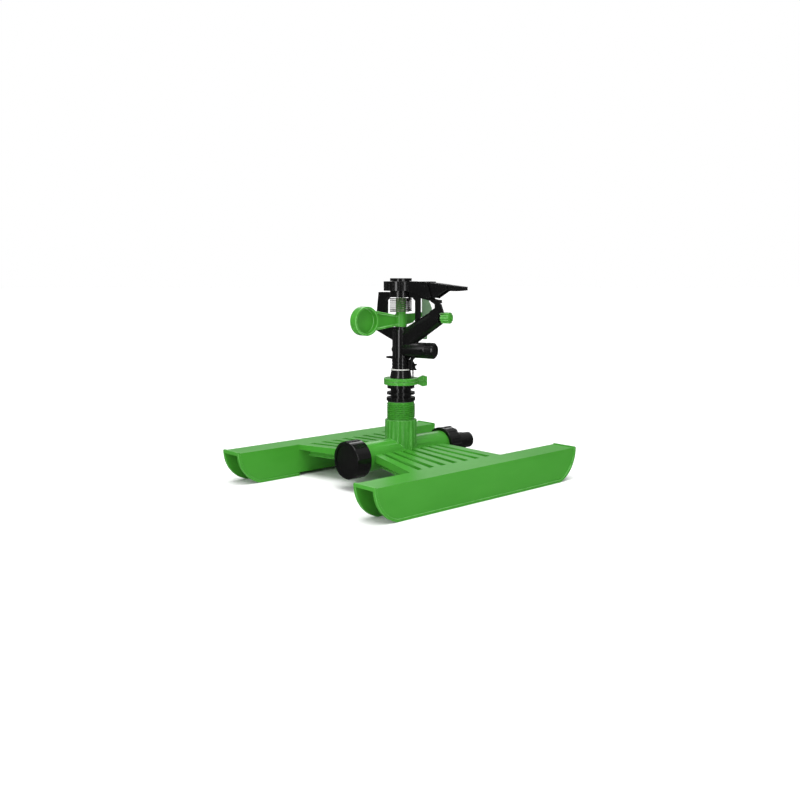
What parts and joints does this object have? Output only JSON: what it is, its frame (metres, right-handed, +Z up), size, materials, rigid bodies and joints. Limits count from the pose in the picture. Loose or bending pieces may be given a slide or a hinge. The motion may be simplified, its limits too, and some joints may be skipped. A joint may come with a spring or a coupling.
{
  "type": "impact sprinkler",
  "caption": "Impact sprinkler head with a counterweighted drive arm, deflector flap and stop collars on a riser over a two-runner sled base with a hose inlet.",
  "frame": {"origin": "on the ground under the riser's axis, at the middle of the runners", "axes": "+Z up, +X along the runners and the water pipe towards the hose inlet, +Y towards the far runner"},
  "size_m": [0.25, 0.2132, 0.1876],
  "materials": {
    "green_plastic": "gloss injection moulding",
    "pale_green_plastic": "satin acetal moulding",
    "black_plastic": "gloss injection moulding",
    "white_plastic": "satin acetal",
    "steel": "stainless wire and pin",
    "rubber": "matt"
  },
  "bodies": {
    "base": {"sled_base": "green_plastic", "end_cap": "black_plastic", "end_cap_washer": "rubber", "hose_connector": "black_plastic", "connector_washer": "rubber", "bearing_body": "black_plastic", "bearing_seal": "rubber", "cone_bush": "black_plastic"},
    "lower_collar": {"lower_stop_collar": "green_plastic"},
    "upper_collar": {"upper_stop_collar": "green_plastic"},
    "head": {"spindle": "white_plastic", "spindle_washer": "rubber", "thrust_washer": "white_plastic", "bearing_spring": "steel", "spring_sleeve": "black_plastic", "retaining_plate": "black_plastic", "head_body": "black_plastic", "nozzle": "black_plastic", "trip_pin": "steel", "trip_spring": "steel", "trip_cap": "black_plastic", "pivot_pin": "steel", "arm_spring": "steel", "deflector_bracket": "black_plastic", "deflector_pin": "black_plastic"},
    "trip": {"trip_lever": "black_plastic", "trip_finger": "black_plastic"},
    "arm": {"drive_arm": "green_plastic", "arm_bush": "green_plastic", "arm_vane": "pale_green_plastic"},
    "tension_cap": {"spring_cap": "black_plastic"},
    "deflector": {"deflector_flap": "black_plastic"},
    "breaker_pin": {"breaker_screw": "black_plastic"},
    "breaker_grip": {"breaker_knob": "green_plastic"}
  },
  "joints": [
    {"name": "head_turn", "type": "hinge", "parent": "base", "child": "head", "pos_m": [0, 0, 0.11], "axis": [0, 0, 1], "continuous": true},
    {"name": "lower_collar_turn", "type": "hinge", "parent": "base", "child": "lower_collar", "pos_m": [0, 0, 0.0911], "axis": [0, 0, 1], "continuous": true},
    {"name": "upper_collar_turn", "type": "hinge", "parent": "base", "child": "upper_collar", "pos_m": [0, 0, 0.0944], "axis": [0, 0, 1], "continuous": true},
    {"name": "arm_swing", "type": "hinge", "parent": "head", "child": "arm", "pos_m": [0, 0, 0.15], "axis": [0, 0, 1], "range_deg": [-47, 76], "stiffness_Nm_per_rad": 0.004},
    {"name": "trip_flip", "type": "hinge", "parent": "head", "child": "trip", "pos_m": [0.00356, -0.0124, 0.1226], "axis": [0.2756, -0.9613, 0], "range_deg": [-12, 12], "stiffness_Nm_per_rad": 0.002},
    {"name": "deflector_tilt", "type": "hinge", "parent": "head", "child": "deflector", "pos_m": [0.00772, -0.02692, 0.1803], "axis": [-0.9613, -0.2756, 0], "range_deg": [-2, 55]},
    {"name": "tension_cap_turn", "type": "hinge", "parent": "head", "child": "tension_cap", "pos_m": [0, 0, 0.18], "axis": [0, 0, 1], "range_deg": [-180, 180]},
    {"name": "breaker_travel", "type": "slide", "parent": "head", "child": "breaker_pin", "axis": [0.2756, -0.9613, 0], "range_m": [0, 0.003]},
    {"name": "breaker_turn", "type": "hinge", "parent": "breaker_pin", "child": "breaker_grip", "pos_m": [0.0124, -0.04326, 0.1526], "axis": [0.2756, -0.9613, 0], "range_deg": [0, 1080]}
  ],
  "couplings": [
    {"joint": "breaker_turn", "follows": "breaker_travel", "rad_per_m": 6283.2}
  ]
}
